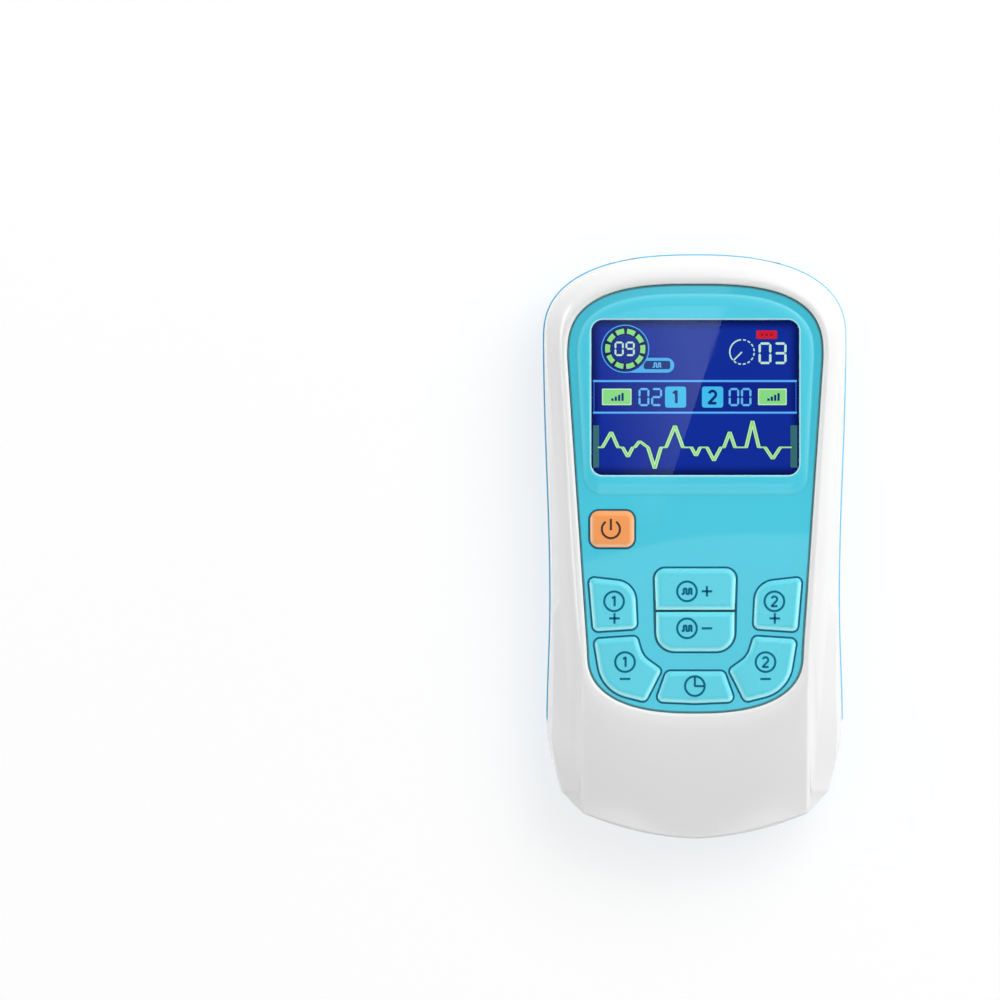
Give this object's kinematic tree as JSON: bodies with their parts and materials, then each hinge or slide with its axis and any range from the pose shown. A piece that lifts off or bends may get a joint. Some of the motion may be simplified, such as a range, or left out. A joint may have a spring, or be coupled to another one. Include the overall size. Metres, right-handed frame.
{
  "type": "tens unit",
  "caption": "Handheld nerve and muscle stimulation unit: hooded display, press keys on a coloured face, output sockets in the end and a sliding battery door at the back.",
  "frame": {"origin": "middle of the footprint, on the surface that the unit lies on", "axes": "+Z out of the face with the display, +Y to the end with the output sockets, +X to the right as the display is read"},
  "size_m": [0.0724, 0.139, 0.0259],
  "materials": {
    "white_plastic": "glossy moulded",
    "blue_plastic": "glossy moulded",
    "cyan_panel": "glossy moulded",
    "clear_window": "clear acrylic",
    "display": "lit colour display",
    "holder_plastic": "satin moulded",
    "foam_black": "soft foam",
    "backlight_plastic": "milky moulded",
    "ribbon_amber": "flexible film",
    "orange_key": "satin moulded",
    "cyan_key": "satin moulded",
    "mat_rubber": "silicone",
    "switch_plastic": "moulded",
    "board_green": "solder mask",
    "socket_black": "satin moulded",
    "contact_brass": "plated",
    "coil_dark": "ferrite and tape",
    "chip_black": "epoxy",
    "capacitor_sleeve": "sleeved can",
    "buzzer_black": "moulded",
    "cell_metal": "bare can",
    "spring_steel": "nickel plated",
    "screw_steel": "zinc plated"
  },
  "bodies": {
    "housing": {"front_shell": "white_plastic", "back_shell": "blue_plastic", "face_panel": "cyan_panel", "display_window": "clear_window", "display_glass": "display", "display_holder": "holder_plastic", "display_gasket": "foam_black", "backlight": "backlight_plastic", "display_ribbon": "ribbon_amber", "keypad_mat": "mat_rubber", "key_switches": "switch_plastic", "main_board": "board_green", "socket_left": "socket_black", "socket_right": "socket_black", "socket_springs": "contact_brass", "transformer_left": "coil_dark", "transformer_right": "coil_dark", "controller_chip": "chip_black", "capacitors": "capacitor_sleeve", "buzzer": "buzzer_black", "cell_left": "cell_metal", "cell_middle": "cell_metal", "cell_right": "cell_metal", "battery_springs": "spring_steel", "battery_plates": "spring_steel", "case_screw_1": "screw_steel", "case_screw_2": "screw_steel", "case_screw_3": "screw_steel", "case_screw_4": "screw_steel", "board_screws": "screw_steel"},
    "power_key": {"power_key": "orange_key"},
    "mode_up_key": {"mode_up_key": "cyan_key"},
    "mode_down_key": {"mode_down_key": "cyan_key"},
    "channel_1_up_key": {"channel_1_up_key": "cyan_key"},
    "channel_1_down_key": {"channel_1_down_key": "cyan_key"},
    "channel_2_up_key": {"channel_2_up_key": "cyan_key"},
    "channel_2_down_key": {"channel_2_down_key": "cyan_key"},
    "timer_key": {"timer_key": "cyan_key"},
    "battery_door": {"battery_door": "blue_plastic"}
  },
  "joints": [
    {"name": "power_press", "type": "slide", "parent": "housing", "child": "power_key", "axis": [0, 0, -1], "range_m": [0, 0.0006], "stiffness_N_per_m": 500, "springref_m": -0.0012},
    {"name": "mode_up_press", "type": "slide", "parent": "housing", "child": "mode_up_key", "axis": [0, 0, -1], "range_m": [0, 0.0006], "stiffness_N_per_m": 500, "springref_m": -0.0012},
    {"name": "mode_down_press", "type": "slide", "parent": "housing", "child": "mode_down_key", "axis": [0, 0, -1], "range_m": [0, 0.0006], "stiffness_N_per_m": 500, "springref_m": -0.0012},
    {"name": "channel_1_up_press", "type": "slide", "parent": "housing", "child": "channel_1_up_key", "axis": [0, 0, -1], "range_m": [0, 0.0006], "stiffness_N_per_m": 500, "springref_m": -0.0012},
    {"name": "channel_1_down_press", "type": "slide", "parent": "housing", "child": "channel_1_down_key", "axis": [0, 0, -1], "range_m": [0, 0.0006], "stiffness_N_per_m": 500, "springref_m": -0.0012},
    {"name": "channel_2_up_press", "type": "slide", "parent": "housing", "child": "channel_2_up_key", "axis": [0, 0, -1], "range_m": [0, 0.0006], "stiffness_N_per_m": 500, "springref_m": -0.0012},
    {"name": "channel_2_down_press", "type": "slide", "parent": "housing", "child": "channel_2_down_key", "axis": [0, 0, -1], "range_m": [0, 0.0006], "stiffness_N_per_m": 500, "springref_m": -0.0012},
    {"name": "timer_press", "type": "slide", "parent": "housing", "child": "timer_key", "axis": [0, 0, -1], "range_m": [0, 0.0006], "stiffness_N_per_m": 500, "springref_m": -0.0012},
    {"name": "door_slide", "type": "slide", "parent": "housing", "child": "battery_door", "axis": [0, -1, 0], "range_m": [0, 0.03]}
  ]
}
